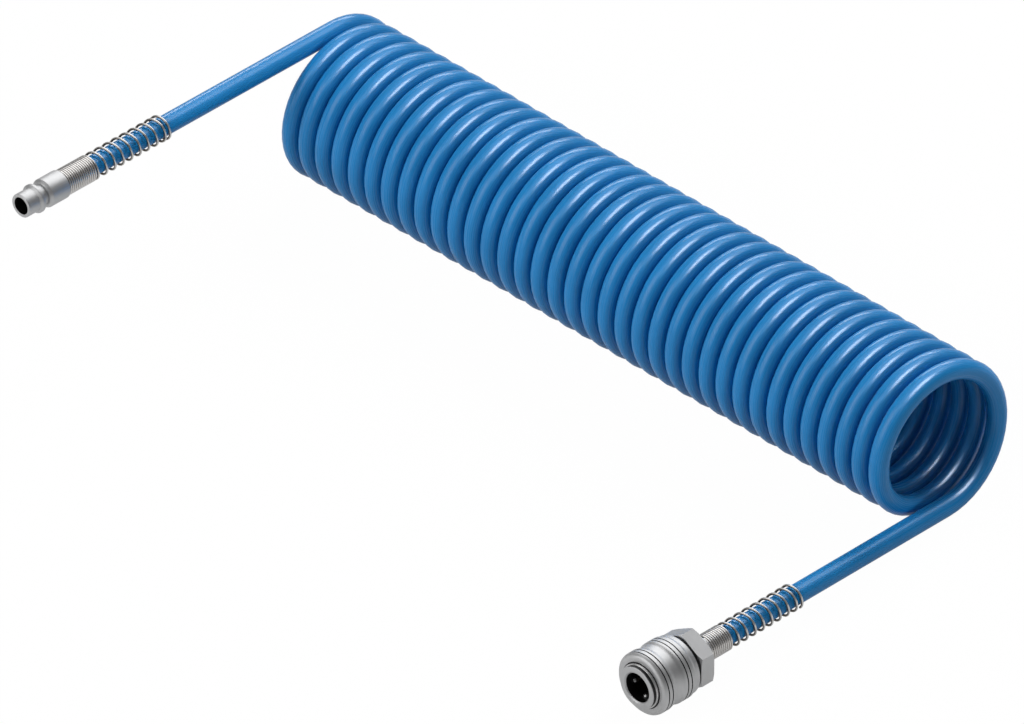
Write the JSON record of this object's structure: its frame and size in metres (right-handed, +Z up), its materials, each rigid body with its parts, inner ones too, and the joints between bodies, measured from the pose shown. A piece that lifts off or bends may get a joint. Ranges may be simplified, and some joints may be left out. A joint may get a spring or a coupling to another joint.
{
  "type": "coiled air hose",
  "caption": "Recoil air hose: a long spring-like coil of plastic tube with straight tails, a plug on one and a sleeve-type quick coupler on the other.",
  "frame": {"origin": "on the floor that the coil stands on, under the middle of the box round the two metal fittings and their springs", "axes": "+X along the coil's centre line from the plug's end to the coupler's end, +Z up, and -Y the way both tails point"},
  "size_m": [0.3474, 0.2013, 0.0786],
  "materials": {
    "hose": "smooth glossy polyurethane, mid blue",
    "fitting": "satin, turned, nickel-plated",
    "spring": "bright drawn wire",
    "seal": "matt black nitrile rubber",
    "valve": "turned brass"
  },
  "bodies": {
    "coil_side": {"hose_coil": "hose", "plug_tail": "hose", "plug_hose_end": "hose", "plug_nipple": "fitting", "plug_spring_grip": "spring", "plug_kink_spring": "spring"},
    "coupler_side": {"coupler_tail": "hose", "coupler_hose_end": "hose", "coupler_connector": "fitting", "connector_seal": "seal", "coupler_spring_grip": "spring", "coupler_kink_spring": "spring", "socket_body": "fitting", "stop_ring": "spring", "nose_seal": "seal", "sleeve_spring": "spring", "valve_spring": "spring"},
    "sleeve": {"lock_sleeve": "fitting"},
    "ball_1": {"lock_ball_1": "spring"},
    "ball_2": {"lock_ball_2": "spring"},
    "ball_3": {"lock_ball_3": "spring"},
    "ball_4": {"lock_ball_4": "spring"},
    "ball_5": {"lock_ball_5": "spring"},
    "valve": {"valve_poppet": "valve", "valve_seal": "seal"}
  },
  "joints": [
    {"name": "coil_stretch", "type": "slide", "parent": "coil_side", "child": "coupler_side", "axis": [1, 0, 0], "range_m": [0, 1.2], "stiffness_N_per_m": 5, "deforming": ["hose_coil"]},
    {"name": "sleeve_slide", "type": "slide", "parent": "coupler_side", "child": "sleeve", "axis": [0, 0.9981, -0.0616], "range_m": [0, 0.002], "stiffness_N_per_m": 1500, "springref_m": -0.003, "deforming": ["sleeve_spring"]},
    {"name": "ball_1_slide", "type": "slide", "parent": "coupler_side", "child": "ball_1", "axis": [0, -0.0616, -0.9981], "range_m": [0, 0.00112]},
    {"name": "ball_2_slide", "type": "slide", "parent": "coupler_side", "child": "ball_2", "axis": [0.9511, -0.019, -0.3084], "range_m": [0, 0.00112]},
    {"name": "ball_3_slide", "type": "slide", "parent": "coupler_side", "child": "ball_3", "axis": [0.5878, 0.0499, 0.8075], "range_m": [0, 0.00112]},
    {"name": "ball_4_slide", "type": "slide", "parent": "coupler_side", "child": "ball_4", "axis": [-0.5878, 0.0499, 0.8075], "range_m": [0, 0.00112]},
    {"name": "ball_5_slide", "type": "slide", "parent": "coupler_side", "child": "ball_5", "axis": [-0.9511, -0.019, -0.3084], "range_m": [0, 0.00112]},
    {"name": "valve_slide", "type": "slide", "parent": "coupler_side", "child": "valve", "axis": [0, 0.9981, -0.0616], "range_m": [0, 0.0035], "stiffness_N_per_m": 600, "springref_m": -0.004, "deforming": ["valve_spring"]}
  ],
  "couplings": [
    {"joint": "ball_1_slide", "follows": "sleeve_slide", "ratio": 0.55},
    {"joint": "ball_2_slide", "follows": "sleeve_slide", "ratio": 0.55},
    {"joint": "ball_3_slide", "follows": "sleeve_slide", "ratio": 0.55},
    {"joint": "ball_4_slide", "follows": "sleeve_slide", "ratio": 0.55},
    {"joint": "ball_5_slide", "follows": "sleeve_slide", "ratio": 0.55}
  ]
}
